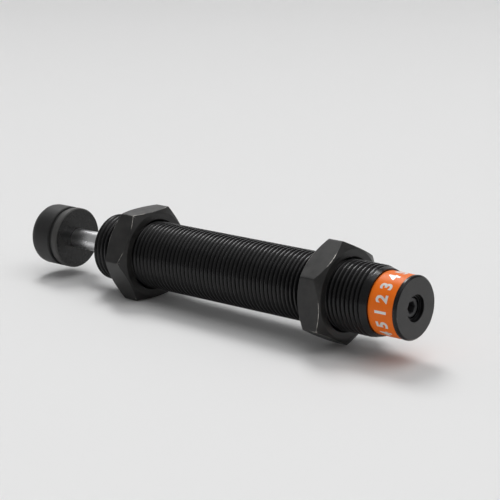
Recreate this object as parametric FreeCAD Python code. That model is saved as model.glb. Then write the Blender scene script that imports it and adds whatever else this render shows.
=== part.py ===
import FreeCAD, Part
import math
import os

# Industrial shock absorber with a threaded body, in millimetres.
# The body lies along X with the rod towards +X, and Z is up.
# The origin is the centre of the body's front face, from which the stroke is measured.

# Outer body, whose thread radius is the sum of the walls and gaps from the rod outwards
body_length = 112.7
body_wall = 2.6
front_chamfer = 1.0
rear_rim_length = 1.2
rear_rim_chamfer = 0.5
shoulder_drop = 0.7
shoulder_taper_length = 2.5
gland_bore_step = 0.4
gland_bore_lead = 1.0

# Thread of the body, as rings of ridges with a flat crest and a sharp root
thread_pitch = 1.5
thread_depth = 0.92
thread_crest = 0.19

# Size band in its groove on the rear neck
band_groove_drop = 1.6
band_groove_depth = 0.5
band_groove_length = 8.2
band_wall = 0.38

# Fill port in the rear end, closed by a screw and a ball
recess_radius = 3.75
recess_depth = 1.2
fill_thread_radius = 3.0
fill_thread_length = 6.4
fill_channel_radius = 1.25
fill_channel_length = 1.65
fill_screw_setback = 0.25
fill_screw_chamfer = 0.4
fill_ball_radius = 2.0
hex_socket_across_flats = 3.0
hex_socket_depth = 2.4

# Lock nuts, the front one measured from the body's front face and the rear one from its rear face
nut_wall = 3.0
nut_thickness = 8.0
nut_face_inset = 0.5
nut_chamfer_angle = 34.0
nut_countersink = 0.55
front_nut_setback = 9.3
front_nut_turn = 0.0
rear_nut_setback = 22.4
rear_nut_turn = 27.2

# Pressure tube and the orifices that close one by one over the stroke
stroke = 16.0
piston_depth = 2.2
tube_wall = 1.2
oil_gap = 1.0
tube_end_wall = 2.5
tube_flange_length = 2.0
oil_slot_width = 2.2
oil_slot_depth = 0.9
orifice_count = 8
orifice_radius = 0.5
orifice_turn = 90.0

# Return spring, which fills the tube behind the piston, and its seat
spring_side_gap = 0.4
spring_wire_radius = 0.4
spring_wire_flats = 6
spring_coils = 8
seat_thickness = 0.8

# Piston, check ring and piston nut
rear_land_length = 2.0
front_land_length = 2.6
piston_groove_depth = 1.4
check_ring_bore_gap = 0.25
check_ring_width = 1.6
check_ring_float = 0.5
check_ring_gap = 0.5
check_ring_gap_turn = 30.0
return_port_count = 6
return_port_radius = 0.35
return_port_edge = 0.06
return_notch_width = 1.6
piston_nut_across_flats = 5.5
piston_nut_thickness = 2.4
tail_radius = 1.5
tail_end = 0.8

# Piston rod and cap
rod_radius = 3.0
stroke_reserve = 0.5
rod_stub_step = 0.5
cap_radius = 9.2
hub_thickness = 2.4
hub_chamfer = 0.3
hub_neck_wall = 2.1
hub_neck_length = 2.4
hub_head_step = 1.6
hub_head_length = 3.0
hub_end_wall = 1.3
hub_head_chamfer = 0.8
cap_groove_depth = 0.6
cap_groove_width = 1.2
bumper_length = 9.5
bumper_edge_radius = 2.3

# Rod bearing block with the foam round its waist
spigot_length = 4.0
bearing_rear_flange = 3.0
bearing_waist_wall = 1.1
bearing_waist_length = 11.0
bearing_front_flange = 4.0
bush_wall = 0.8
rear_bush_length = 12.0
foam_end_play = 0.1

# Gland, seals and front guide
gland_length = 22.9
o_ring_section_radius = 0.75
o_ring_side_play = 0.25
seal_depth = 2.4
seal_length = 4.5
seal_lip_depth = 2.2
seal_lip_wall = 0.55
backup_thickness = 1.2
front_bush_length = 5.5
guide_land = 0.9
wiper_depth = 2.6
wiper_length = 2.6
wiper_lip_length = 0.9
wiper_lip_wall = 0.5

# Retaining ring in its groove behind the front face
ring_setback = 1.6
ring_thickness = 1.0
ring_groove_depth = 0.5
ring_reach = 0.9
ring_gap_angle = 50.0
ring_ear_radius = 1.05
ring_ear_hole_radius = 0.5

# Clearances
thread_clearance = 0.05
slip_clearance = 0.05
running_clearance = 0.03
relief_clearance = 0.3
seal_clearance = 0.02
land_clearance = 0.12
screw_clearance = 0.03
seat_gap = 0.02
stop_gap = 0.3
tiny = 0.001

# Radii from the rod outwards
rod_hole_radius = rod_radius + running_clearance
rod_relief_radius = rod_hole_radius + relief_clearance
bush_radius = rod_hole_radius + bush_wall
bush_seat_radius = bush_radius + screw_clearance
seal_outer_radius = rod_radius + seal_depth
wiper_outer_radius = rod_radius + wiper_depth
tube_bore_radius = rod_radius + piston_depth
tube_radius = tube_bore_radius + tube_wall
bore_radius = tube_radius + oil_gap
slip_radius = bore_radius - slip_clearance
gland_bore_radius = bore_radius + gland_bore_step
gland_radius = gland_bore_radius - slip_clearance
thread_radius = bore_radius + body_wall
band_groove_radius = thread_radius - band_groove_drop
rear_rim_radius = band_groove_radius + band_groove_depth
nut_bore_radius = thread_radius + thread_clearance
nut_across_flats = 2 * (thread_radius + nut_wall)

# Stations along X, from the front face back to the spring
front_face = 0.0
ring_groove_end = front_face - ring_setback
guide_front = ring_groove_end - ring_thickness - 2 * seat_gap
wiper_rear = guide_front - wiper_length
bush_front = wiper_rear - guide_land
guide_rear = bush_front - front_bush_length
gland_front = guide_rear - seat_gap
gland_rear = gland_front - gland_length
bearing_front = gland_rear - seat_gap
waist_end = bearing_front - bearing_front_flange
waist_start = waist_end - bearing_waist_length
bearing_flange_rear = waist_start - bearing_rear_flange
tube_front = bearing_flange_rear - seat_gap
bearing_rear = tube_front - spigot_length
piston_front = bearing_rear - stop_gap
ring_space_end = piston_front - front_land_length
ring_space_start = ring_space_end - check_ring_float - check_ring_width
piston_rear = ring_space_start - rear_land_length
seat_rear = piston_rear - seat_gap - seat_thickness
spring_end = seat_rear - seat_gap

# Stations along X, from the rear face forward to the spring
rear_face = front_face - body_length
band_start = rear_face + rear_rim_length
shoulder = band_start + band_groove_length
thread_start = shoulder + shoulder_taper_length
thread_end = front_face - front_chamfer
fill_thread_start = rear_face + recess_depth
fill_seat_start = fill_thread_start + fill_thread_length
fill_seat_end = fill_seat_start + fill_thread_radius - fill_channel_radius
bore_floor = fill_seat_end + fill_channel_length
tube_rear = bore_floor + seat_gap
spring_start = tube_rear + tube_end_wall + seat_gap
spring_length = spring_end - spring_start

# Stations of the cap, in front of the front face
hub_rear = front_face + stroke + stroke_reserve
hub_front = hub_rear + hub_thickness
hub_head_end = hub_front + hub_neck_length + hub_head_length
stub_hole_end = hub_head_end - hub_end_wall
bumper_rear = hub_front + seat_gap
bumper_front = bumper_rear + bumper_length

ORIGIN = FreeCAD.Vector(0, 0, 0)
AXIS = FreeCAD.Vector(1, 0, 0)
UP = FreeCAD.Vector(0, 0, 1)


def point(pair):
    """A point of a turned outline from its station and radius."""
    return FreeCAD.Vector(pair[0], 0, pair[1])


def turned(start, *steps):
    """Turn a closed outline round the axis. A step is the end of a line, or the middle and end of an arc."""
    edges = []
    here = point(start)
    for step in (*steps, start):
        if isinstance(step[0], tuple):
            middle, end = (point(pair) for pair in step)
            edges.append(Part.Arc(here, middle, end).toShape())
        else:
            end = point(step)
            edges.append(Part.LineSegment(here, end).toShape())
        here = end
    return Part.Face(Part.Wire(edges)).revolve(ORIGIN, AXIS, 360)


def rod_along(radius, start, end):
    """A plain round bar on the axis."""
    return Part.makeCylinder(radius, end - start, FreeCAD.Vector(start, 0, 0), AXIS)


def tube_along(inner, outer, start, end):
    """A plain tube on the axis."""
    return turned((start, inner), (start, outer), (end, outer), (end, inner))


def turn(shape, degrees):
    """A copy of a shape turned about the axis."""
    copy = shape.copy()
    copy.rotate(ORIGIN, AXIS, degrees)
    return copy


def corner_radius(across_flats):
    """Distance from the axis to the corners of a hexagon."""
    return across_flats / 2 / math.cos(math.radians(30))


def hexagon(across_flats, start, end, degrees):
    """A hexagonal bar on the axis. At zero degrees a flat faces straight down."""
    corner = corner_radius(across_flats)
    corners = []
    for index in range(7):
        angle = math.radians(60 * index + degrees)
        corners.append(FreeCAD.Vector(start, corner * math.cos(angle), corner * math.sin(angle)))
    return Part.Face(Part.makePolygon(corners)).extrude(AXIS * (end - start))


def slot_block(width, depth, reach, start, end, degrees):
    """A block from one radius outwards that cuts a slot or notch, turned about the axis."""
    corner = FreeCAD.Vector(start, -width / 2, depth)
    return turn(Part.makeBox(end - start, width, reach - depth, corner), degrees)


def evenly(count):
    """Angles of equal steps round the axis."""
    return [360 * index / count for index in range(count)]


def thread_ridges():
    """Outline of the thread's grooves, one for each whole pitch back from the front chamfer."""
    groove_width = thread_pitch - thread_crest
    count = int((thread_end - thread_start - thread_crest) / thread_pitch)
    steps = []
    for index in range(count, 0, -1):
        groove_start = thread_end - index * thread_pitch
        steps.append((groove_start, thread_radius))
        steps.append((groove_start + groove_width / 2, thread_radius - thread_depth))
        steps.append((groove_start + groove_width, thread_radius))
    return steps


def outer_body():
    """Tube with a thread outside, a closed rear end and a stepped bore."""
    groove_radius = gland_bore_radius + ring_groove_depth
    blank = turned(
        (rear_face, 0),
        (rear_face, rear_rim_radius - rear_rim_chamfer),
        (rear_face + rear_rim_chamfer, rear_rim_radius),
        (band_start, rear_rim_radius),
        (band_start, band_groove_radius),
        (shoulder, band_groove_radius),
        (shoulder, thread_radius - shoulder_drop),
        (thread_start, thread_radius),
        *thread_ridges(),
        (thread_end, thread_radius),
        (front_face, thread_radius - front_chamfer),
        (front_face, gland_bore_radius),
        (ring_groove_end, gland_bore_radius),
        (ring_groove_end, groove_radius),
        (guide_front, groove_radius),
        (guide_front, gland_bore_radius),
        (gland_rear - gland_bore_lead, gland_bore_radius),
        (gland_rear - gland_bore_lead, bore_radius),
        (bore_floor, bore_radius),
        (bore_floor, 0),
    )
    return blank.cut(fill_port())


def fill_port():
    """Recess, threaded hole, conical seat and oil channel of the rear end."""
    return turned(
        (rear_face - tiny, 0),
        (rear_face - tiny, recess_radius),
        (fill_thread_start, recess_radius),
        (fill_thread_start, fill_thread_radius),
        (fill_seat_start, fill_thread_radius),
        (fill_seat_end, fill_channel_radius),
        (bore_floor + tiny, fill_channel_radius),
        (bore_floor + tiny, 0),
    )


def ball_centre():
    """Station of the fill ball, which touches the conical seat of 45 degrees all round."""
    touch = (fill_ball_radius + seat_gap) * math.sqrt(0.5)
    return fill_seat_start + fill_thread_radius - 2 * touch


def fill_ball():
    """Steel ball that closes the oil channel."""
    return Part.makeSphere(fill_ball_radius, FreeCAD.Vector(ball_centre(), 0, 0))


def fill_screw():
    """Set screw with a hexagon socket that presses the ball on its seat."""
    radius = fill_thread_radius - screw_clearance
    start = fill_thread_start + fill_screw_setback
    end = ball_centre() - fill_ball_radius - seat_gap
    screw = turned(
        (start, 0),
        (start, radius - fill_screw_chamfer),
        (start + fill_screw_chamfer, radius),
        (end - fill_screw_chamfer, radius),
        (end, radius - fill_screw_chamfer),
        (end, 0),
    )
    socket = hexagon(hex_socket_across_flats, start - tiny, start + hex_socket_depth, 0)
    return screw.cut(socket)


def size_band():
    """Thin coloured band that fills the groove of the rear neck."""
    inner = band_groove_radius + seat_gap
    return tube_along(inner, inner + band_wall, band_start + seat_gap, shoulder - seat_gap)


def lock_nut(start, degrees):
    """Hexagon nut with turned chamfers on both faces and a countersunk bore."""
    end = start + nut_thickness
    face_radius = nut_across_flats / 2 - nut_face_inset
    outside = corner_radius(nut_across_flats) + tiny
    drop = (outside - face_radius) * math.tan(math.radians(nut_chamfer_angle))
    envelope = turned(
        (start, nut_bore_radius + nut_countersink),
        (start, face_radius),
        (start + drop, outside),
        (end - drop, outside),
        (end, face_radius),
        (end, nut_bore_radius + nut_countersink),
        (end - nut_countersink, nut_bore_radius),
        (start + nut_countersink, nut_bore_radius),
    )
    return envelope.common(hexagon(nut_across_flats, start, end, degrees))


def front_nut():
    """Lock nut near the rod's end of the body, lying on a flat."""
    return lock_nut(front_face - front_nut_setback - nut_thickness, front_nut_turn)


def rear_nut():
    """Lock nut near the rear end, lying on a corner."""
    return lock_nut(rear_face + rear_nut_setback, rear_nut_turn)


def pressure_tube():
    """Tube with a closed rear end, a notched flange that centres it, and the metering orifices."""
    flange_front = tube_rear + tube_flange_length
    tube = turned(
        (tube_rear, 0),
        (tube_rear, slip_radius),
        (flange_front, slip_radius),
        (flange_front, tube_radius),
        (tube_front, tube_radius),
        (tube_front, tube_bore_radius),
        (spring_start - seat_gap, tube_bore_radius),
        (spring_start - seat_gap, 0),
    )
    for degrees in evenly(4):
        tube = tube.cut(slot_block(oil_slot_width, tube_radius, thread_radius, tube_rear - tiny,
                                   flange_front + tiny, degrees))
        tube = tube.cut(slot_block(oil_slot_width, 0, thread_radius, tube_rear - tiny,
                                   tube_rear + oil_slot_depth, degrees))
    for index in range(orifice_count):
        tube = tube.cut(orifice(index))
    return tube


def orifice(index):
    """Drill for one metering hole. The open area left falls with the square root of the stroke left."""
    area_left = (orifice_count - index - 0.5) / orifice_count
    travel = stroke * (1 - area_left**2)
    station = ring_space_end - travel
    inside = FreeCAD.Vector(station, 0, tube_bore_radius - tube_wall)
    drill = Part.makeCylinder(orifice_radius, 3 * tube_wall, inside, UP)
    return turn(drill, index * orifice_turn)


def spring_mean_radius():
    """Radius of the coil at the middle of its wire."""
    return tube_bore_radius - spring_side_gap - spring_wire_radius


def wire_section():
    """Section of the spring's wire: a polygon with the area of the round wire, which keeps the coil light."""
    step = 2 * math.pi / spring_wire_flats
    corner = spring_wire_radius * math.sqrt(2 * math.pi / (spring_wire_flats * math.sin(step)))
    corners = []
    for index in range(spring_wire_flats + 1):
        out = spring_mean_radius() + corner * math.cos(index * step)
        corners.append(FreeCAD.Vector(out, 0, corner * math.sin(index * step)))
    return Part.makePolygon(corners)


def return_spring():
    """Compression spring with its end coils ground flat."""
    overrun = spring_wire_radius
    pitch = spring_length / spring_coils
    helix = Part.makeHelix(pitch, spring_length + 2 * overrun, spring_mean_radius())
    coil = Part.Wire(helix.Edges).makePipeShell([wire_section()], True, True)
    coil.rotate(ORIGIN, FreeCAD.Vector(0, 1, 0), 90)
    coil.translate(FreeCAD.Vector(spring_start - overrun, 0, 0))
    return coil.common(rod_along(tube_bore_radius, spring_start, spring_end))


def spring_seat():
    """Washer between the spring and the piston, on which the rod is free to turn."""
    inner = corner_radius(piston_nut_across_flats) + relief_clearance
    outer = tube_bore_radius - relief_clearance
    return tube_along(inner, outer, seat_rear, seat_rear + seat_thickness)


def piston():
    """Piston with a groove for the check ring, ports in the front land and notches in the rear one."""
    land_radius = tube_bore_radius - land_clearance
    groove_radius = tube_bore_radius - piston_groove_depth
    hole_radius = tail_radius + screw_clearance
    body = turned(
        (piston_rear, hole_radius),
        (piston_rear, land_radius),
        (ring_space_start, land_radius),
        (ring_space_start, groove_radius),
        (ring_space_end, groove_radius),
        (ring_space_end, land_radius),
        (piston_front, land_radius),
        (piston_front, hole_radius),
    )
    port_circle = groove_radius + check_ring_bore_gap + return_port_edge + return_port_radius
    for degrees in evenly(return_port_count):
        start = FreeCAD.Vector(ring_space_end - tiny, 0, port_circle)
        port = Part.makeCylinder(return_port_radius, front_land_length + 2 * tiny, start, AXIS)
        body = body.cut(turn(port, degrees))
        body = body.cut(slot_block(return_notch_width, groove_radius, tube_radius, piston_rear - tiny,
                                   ring_space_start + tiny, degrees))
    return body


def check_ring():
    """Split ring that closes the return ports on the way in and opens them on the way out."""
    end = ring_space_end - seat_gap
    inner = tube_bore_radius - piston_groove_depth + check_ring_bore_gap
    outer = tube_bore_radius - seal_clearance
    ring = tube_along(inner, outer, end - check_ring_width, end)
    cut = slot_block(check_ring_gap, 0, tube_radius, end - check_ring_width - tiny, end + tiny,
                     check_ring_gap_turn)
    return ring.cut(cut)


def piston_nut():
    """Small hexagon nut on the rod's tail that holds the piston."""
    end = piston_rear - seat_gap
    start = end - piston_nut_thickness
    nut = hexagon(piston_nut_across_flats, start, end, 0)
    return nut.cut(rod_along(tail_radius + screw_clearance, start - tiny, end + tiny))


def piston_rod():
    """Ground rod with a thin tail for the piston and a stub for the cap."""
    tail_start = piston_rear - seat_gap - piston_nut_thickness - tail_end
    shoulder_start = piston_front + seat_gap
    stub_radius = rod_radius - rod_stub_step
    stub_end = stub_hole_end - seat_gap
    return turned(
        (tail_start, 0),
        (tail_start, tail_radius - tail_end / 2),
        (tail_start + tail_end / 2, tail_radius),
        (shoulder_start, tail_radius),
        (shoulder_start, rod_radius),
        (hub_rear - seat_gap, rod_radius),
        (hub_rear - seat_gap, stub_radius),
        (stub_end, stub_radius),
        (stub_end, 0),
    )


def cap_hub():
    """Steel disc on the rod's end, with a headed stem that holds the bumper."""
    hole_radius = rod_radius - rod_stub_step + screw_clearance
    neck_radius = hole_radius + hub_neck_wall
    neck_end = hub_front + hub_neck_length
    head_radius = neck_radius + hub_head_step
    return turned(
        (hub_rear, hole_radius),
        (hub_rear, cap_radius - hub_chamfer),
        (hub_rear + hub_chamfer, cap_radius),
        (hub_front - hub_chamfer, cap_radius),
        (hub_front, cap_radius - hub_chamfer),
        (hub_front, neck_radius),
        (neck_end, neck_radius),
        (neck_end, head_radius),
        (hub_head_end - hub_head_chamfer, head_radius),
        (hub_head_end, head_radius - hub_head_chamfer),
        (hub_head_end, 0),
        (stub_hole_end, 0),
        (stub_hole_end, hole_radius),
    )


def bumper_cap():
    """Plastic bumper snapped over the head of the hub, with a rounded front edge and a groove at its rear."""
    groove_end = hub_front + cap_groove_width
    pocket_start = hub_front + hub_neck_length - seat_gap
    pocket_end = hub_head_end + seat_gap
    neck = rod_radius - rod_stub_step + screw_clearance + hub_neck_wall + slip_clearance
    pocket = neck + hub_head_step
    arc_inset = bumper_edge_radius * (1 - math.sqrt(0.5))
    arc_middle = (bumper_front - arc_inset, cap_radius - arc_inset)
    arc_end = (bumper_front, cap_radius - bumper_edge_radius)
    return turned(
        (bumper_rear, neck),
        (bumper_rear, cap_radius - cap_groove_depth),
        (groove_end, cap_radius - cap_groove_depth),
        (groove_end, cap_radius - hub_chamfer),
        (groove_end + hub_chamfer, cap_radius),
        (bumper_front - bumper_edge_radius, cap_radius),
        (arc_middle, arc_end),
        (bumper_front, 0),
        (pocket_end, 0),
        (pocket_end, pocket - hub_head_chamfer),
        (pocket_end - hub_head_chamfer, pocket),
        (pocket_start, pocket),
        (pocket_start, neck),
    )


def rod_bearing():
    """Block that closes the pressure tube, with a notched rear flange and a waist for the foam."""
    bush_start = bearing_front - rear_bush_length
    spigot_radius = tube_bore_radius - slip_clearance
    waist_radius = bush_seat_radius + bearing_waist_wall
    block = turned(
        (bearing_rear, rod_relief_radius),
        (bearing_rear, spigot_radius),
        (bearing_flange_rear, spigot_radius),
        (bearing_flange_rear, slip_radius),
        (waist_start, slip_radius),
        (waist_start, waist_radius),
        (waist_end, waist_radius),
        (waist_end, slip_radius),
        (bearing_front, slip_radius),
        (bearing_front, bush_seat_radius),
        (bush_start, bush_seat_radius),
        (bush_start, rod_relief_radius),
    )
    for degrees in evenly(4):
        block = block.cut(slot_block(oil_slot_width, tube_radius, thread_radius, bearing_flange_rear - tiny,
                                     waist_start + tiny, degrees))
    return block


def rear_bush():
    """Bronze bush of the bearing block."""
    start = bearing_front - rear_bush_length + seat_gap
    return tube_along(rod_hole_radius, bush_radius, start, bearing_front)


def accumulator_foam():
    """Closed-cell foam sleeve that takes up the volume of oil that the rod displaces."""
    inner = bush_seat_radius + bearing_waist_wall + slip_clearance
    return tube_along(inner, slip_radius, waist_start + foam_end_play, waist_end - foam_end_play)


def gland():
    """Seal housing with an O-ring groove outside and the pocket of the rod seal at its front."""
    pocket_start = gland_front - seal_length - backup_thickness - 3 * seat_gap
    groove_radius = gland_bore_radius - 2 * o_ring_section_radius - 2 * seal_clearance
    groove_start = o_ring_middle() - o_ring_section_radius - o_ring_side_play
    groove_end = o_ring_middle() + o_ring_section_radius + o_ring_side_play
    return turned(
        (gland_rear, rod_relief_radius),
        (gland_rear, gland_radius),
        (groove_start, gland_radius),
        (groove_start, groove_radius),
        (groove_end, groove_radius),
        (groove_end, gland_radius),
        (gland_front, gland_radius),
        (gland_front, seal_outer_radius),
        (pocket_start, seal_outer_radius),
        (pocket_start, rod_relief_radius),
    )


def o_ring_middle():
    """Station of the O-ring, half way along the gland."""
    return gland_rear + gland_length / 2


def gland_o_ring():
    """O-ring between the gland and the body."""
    ring_radius = gland_bore_radius - seal_clearance - o_ring_section_radius
    middle = FreeCAD.Vector(o_ring_middle(), 0, 0)
    return Part.makeTorus(ring_radius, o_ring_section_radius, middle, AXIS)


def rod_seal():
    """Lip seal of U section, open towards the oil."""
    start = gland_front - seal_length - backup_thickness - 2 * seat_gap
    end = start + seal_length
    inner = rod_radius + seal_clearance
    outer = seal_outer_radius - seal_clearance
    return turned(
        (start, inner),
        (start, inner + seal_lip_wall),
        (start + seal_lip_depth, inner + seal_lip_wall),
        (start + seal_lip_depth, outer - seal_lip_wall),
        (start, outer - seal_lip_wall),
        (start, outer),
        (end, outer),
        (end, inner),
    )


def seal_backup_ring():
    """Hard ring that stops the rod seal from creeping forward."""
    end = gland_front - seat_gap
    inner = rod_hole_radius + running_clearance
    return tube_along(inner, seal_outer_radius - seal_clearance, end - backup_thickness, end)


def front_guide():
    """Front guide with the front bush behind and the pocket of the wiper in front."""
    return turned(
        (guide_rear, bush_seat_radius),
        (guide_rear, gland_radius),
        (guide_front, gland_radius),
        (guide_front, wiper_outer_radius),
        (wiper_rear - seat_gap, wiper_outer_radius),
        (wiper_rear - seat_gap, rod_relief_radius),
        (bush_front + seat_gap, rod_relief_radius),
        (bush_front + seat_gap, bush_seat_radius),
    )


def front_bush():
    """Bronze bush of the front guide."""
    return tube_along(rod_hole_radius, bush_radius, guide_rear, bush_front)


def rod_wiper():
    """Wiper with a thin lip that points out along the rod."""
    inner = rod_radius + seal_clearance
    return turned(
        (wiper_rear, inner + wiper_lip_wall),
        (wiper_rear, wiper_outer_radius - seal_clearance),
        (guide_front, wiper_outer_radius - seal_clearance),
        (guide_front, inner + 2 * wiper_lip_wall),
        (guide_front + wiper_lip_length, inner + wiper_lip_wall / 2),
        (guide_front + wiper_lip_length, inner),
        (guide_front, inner),
    )


def retaining_ring():
    """Internal retaining ring with two ears that have holes for the pliers."""
    start = guide_front + seat_gap
    cut_start = FreeCAD.Vector(start - tiny, 0, 0)
    cut_length = ring_thickness + 2 * tiny
    outer = gland_bore_radius + ring_groove_depth - seat_gap
    ring = tube_along(gland_bore_radius - ring_reach, outer, start, start + ring_thickness)
    wedge = Part.makeCylinder(thread_radius, cut_length, cut_start, AXIS, ring_gap_angle)
    wedge.rotate(ORIGIN, AXIS, -ring_gap_angle / 2)
    ring = ring.cut(wedge)
    ear_circle = gland_bore_radius - slip_clearance - ring_ear_radius
    for side in (-1, 1):
        ear_middle = FreeCAD.Vector(start, 0, ear_circle)
        ear = Part.makeCylinder(ring_ear_radius, ring_thickness, ear_middle, AXIS)
        hole_start = cut_start + UP * ear_circle
        hole = Part.makeCylinder(ring_ear_hole_radius, cut_length, hole_start, AXIS)
        ring = ring.fuse(turn(ear, side * ring_gap_angle / 2))
        ring = ring.cut(turn(hole, side * ring_gap_angle / 2))
    return ring.removeSplitter()


PIECES = (
    outer_body,
    size_band,
    fill_screw,
    fill_ball,
    front_nut,
    rear_nut,
    pressure_tube,
    return_spring,
    spring_seat,
    piston,
    check_ring,
    piston_nut,
    piston_rod,
    cap_hub,
    bumper_cap,
    rod_bearing,
    rear_bush,
    accumulator_foam,
    gland,
    gland_o_ring,
    rod_seal,
    seal_backup_ring,
    front_guide,
    front_bush,
    rod_wiper,
    retaining_ring,
)

os.makedirs("parts", exist_ok=True)
for piece in PIECES:
    shape = piece()
    if len(shape.Solids) == 1:
        shape = shape.Solids[0]
    print(piece.__name__, shape.isValid(), len(shape.Solids), round(shape.Volume, 2))
    shape.exportStep("parts/" + piece.__name__ + ".step")
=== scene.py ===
import bpy
import bmesh
import math
import numpy as np
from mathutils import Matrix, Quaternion, Vector


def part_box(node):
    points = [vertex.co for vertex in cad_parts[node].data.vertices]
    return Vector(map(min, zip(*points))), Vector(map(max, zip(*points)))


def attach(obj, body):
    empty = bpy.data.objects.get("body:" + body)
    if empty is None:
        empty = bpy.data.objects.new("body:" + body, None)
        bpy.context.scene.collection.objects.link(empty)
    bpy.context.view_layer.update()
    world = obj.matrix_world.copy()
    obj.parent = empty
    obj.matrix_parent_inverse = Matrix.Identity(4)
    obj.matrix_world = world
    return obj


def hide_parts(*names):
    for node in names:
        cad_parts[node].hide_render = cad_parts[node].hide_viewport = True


# Looks of an industrial shock absorber, in the frame of the CAD part: the body lies along X, its
# front face is at zero and the rod points towards +X. Sizes are in millimetres until a mesh is made.
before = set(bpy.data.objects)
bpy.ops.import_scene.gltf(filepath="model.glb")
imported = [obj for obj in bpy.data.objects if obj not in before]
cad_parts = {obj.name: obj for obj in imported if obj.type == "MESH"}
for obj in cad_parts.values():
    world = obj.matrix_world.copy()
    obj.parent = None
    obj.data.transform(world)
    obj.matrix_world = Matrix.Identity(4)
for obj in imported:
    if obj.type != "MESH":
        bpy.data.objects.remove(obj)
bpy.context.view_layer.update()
MM = 0.001

# Camera, as fitted to the photograph, in metres, degrees and millimetres of lens
CAMERA_PLACE = (-0.3981, 0.3878, 0.1408)
CAMERA_AIM = (-0.0449, -0.0108, 0.0033)
CAMERA_ROLL = -1.29
CAMERA_LENS = 135.76
CAMERA_SENSOR = 36
CAMERA_NEAREST = 0.01
CAMERA_FARTHEST = 20

# Floor: the front nut lies on a flat and the rear nut on a corner, so it slopes a little along the
# body. It has its height at the station of its touch, a slope in degrees, and a reach in metres to
# each side
FLOOR_HEIGHT = -13.02
FLOOR_TOUCH = -9.64
FLOOR_SLOPE = 1.53
FLOOR_REACH = 4.0

# Finish of floor and backdrop
STAGE_COLOUR = (0.80, 0.80, 0.80)
STAGE_ROUGHNESS = 0.9
STAGE_GLOSS = 0.1

# Lamps, as seen from their aim near the middle of the body: bearing from +X towards +Y and rise above
# the horizon in degrees, distance, width and height in metres, and power in watts
LIGHT_AIM = (-0.05, 0.0, 0.0)
SOFTBOXES = {
    "back_softbox": (-38, 55, 3.3, 0.95, 1.80, 61.0),
    "top_softbox": (-175, 68, 3.3, 3.80, 3.00, 38.5),
    "front_softbox": (20, 84, 3.0, 1.05, 1.05, 4.0),
}

# Strength of the even light from all round
SURROUND = 0.31

# Backdrop, with its bearing in degrees and its sizes in metres. Its glow is for the lens and for
# gloss alone
BACKDROP_BEARING = -40
BACKDROP_DISTANCE = 1.05
BACKDROP_WIDTH = 2.6
BACKDROP_HEIGHT = 1.06
BACKDROP_GLOW = 0.22

# Thread of the body: pitch, slope of the flanks to the axis in degrees, and radii and steps of the
# arcs over the crest and in the root
THREAD_PITCH = 1.5
THREAD_FLANK = 60.0
THREAD_CREST_ARC = 0.40
THREAD_ROOT_ARC = 0.08
THREAD_CREST_STEPS = 3
THREAD_ROOT_STEPS = 2

# Station of a crest at one angle, in degrees, which places the whole thread
THREAD_MARK = -96.80
THREAD_MARK_ANGLE = 20.0

# Shared sizes of the CAD part that the boxes of its nodes don't give
SEAT_GAP = 0.02
SLIP_GAP = 0.05
SCREW_GAP = 0.03
BAND_WALL = 0.38
STUB_RADIUS = 2.5
HUB_THICKNESS = 2.4
NECK_LENGTH = 2.4
NECK_RADIUS = 4.63
HEAD_RADIUS = 6.23
HEAD_CHAMFER = 0.8
CAP_CHAMFER = 0.3

# Columns round the axis, and steps of a rounded corner
ROUND = 96
ARC_STEPS = 4

# The share of a line that a rounding may take, and the place and the wear with painted edge glint of
# the point beside a rounding as shares of those of its end
ARC_ROOM = 0.3
BESIDE_ARC = 1.5
BESIDE_WEAR_AND_GLINT = 0.2

# Width within which points of a grid are one, and the least sine of an arc's opening
JOIN = 1e-5
NO_OPENING = 1e-9

# Angle in degrees above which an edge is sharp, on turned pieces and on those with a thread or flats
SHARP_TURNED = 40
SHARP_CUT = 50


def reach(node):
    """First and last station and outside radius of a turned CAD node, in millimetres."""
    low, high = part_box(node)
    return low.x / MM, high.x / MM, high.y / MM


BODY_REAR, BODY_FRONT, THREAD_RADIUS = reach("outer_body")
BAND_START, BAND_END, BAND_RADIUS = reach("size_band")
SCREW_START, SCREW_END, SCREW_RADIUS = reach("fill_screw")
ROD_START, ROD_END, ROD_RADIUS = reach("piston_rod")
HUB_START, HUB_END, CAP_RADIUS = reach("cap_hub")
BUMPER_START, BUMPER_END, _ = reach("bumper_cap")
GUIDE_FRONT = reach("front_guide")[1]
GLAND_REAR, _, GLAND_RADIUS = reach("gland")
TUBE_REAR = reach("pressure_tube")[0]
PISTON_FRONT = reach("piston")[1]
BEARING_RADIUS = reach("rod_bearing")[2]


# Surfaces


def unit(vectors):
    """Vectors along the last axis, brought to length one. A vector without length stays as it is."""
    length = np.linalg.norm(vectors, axis=-1, keepdims=True)
    return vectors / np.where(length > 0, length, 1)


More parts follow.
